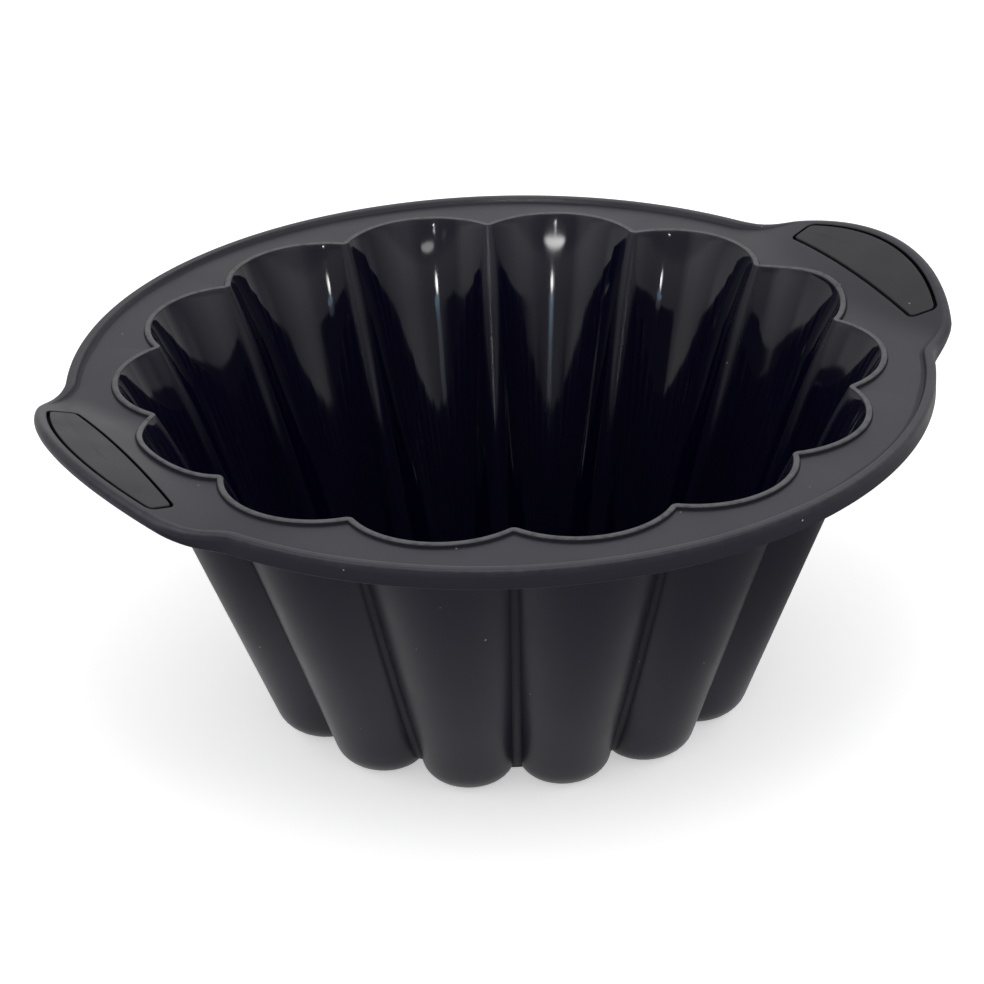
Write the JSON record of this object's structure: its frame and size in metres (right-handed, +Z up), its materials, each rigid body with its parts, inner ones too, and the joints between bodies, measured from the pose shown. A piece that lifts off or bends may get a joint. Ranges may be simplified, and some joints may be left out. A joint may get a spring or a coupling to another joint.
{
  "type": "brioche mould",
  "caption": "Deep fluted silicone brioche mould with a wire-stiffened flat rim and two upswept handles with rigid inserts.",
  "frame": {"origin": "centre of the underside of the base, where the mould rests", "axes": "+X runs through both handles, towards the right-hand handle, +Y runs across, +Z is up out of the mouth"},
  "size_m": [0.265, 0.241, 0.1049],
  "materials": {
    "silicone": "satin outside, glossy inside the cup",
    "insert": "satin",
    "steel": "drawn wire"
  },
  "bodies": {
    "root": {"silicone_moulding": "silicone", "handle_insert_left": "insert", "handle_insert_right": "insert", "rim_wire": "steel"}
  },
  "joints": []
}
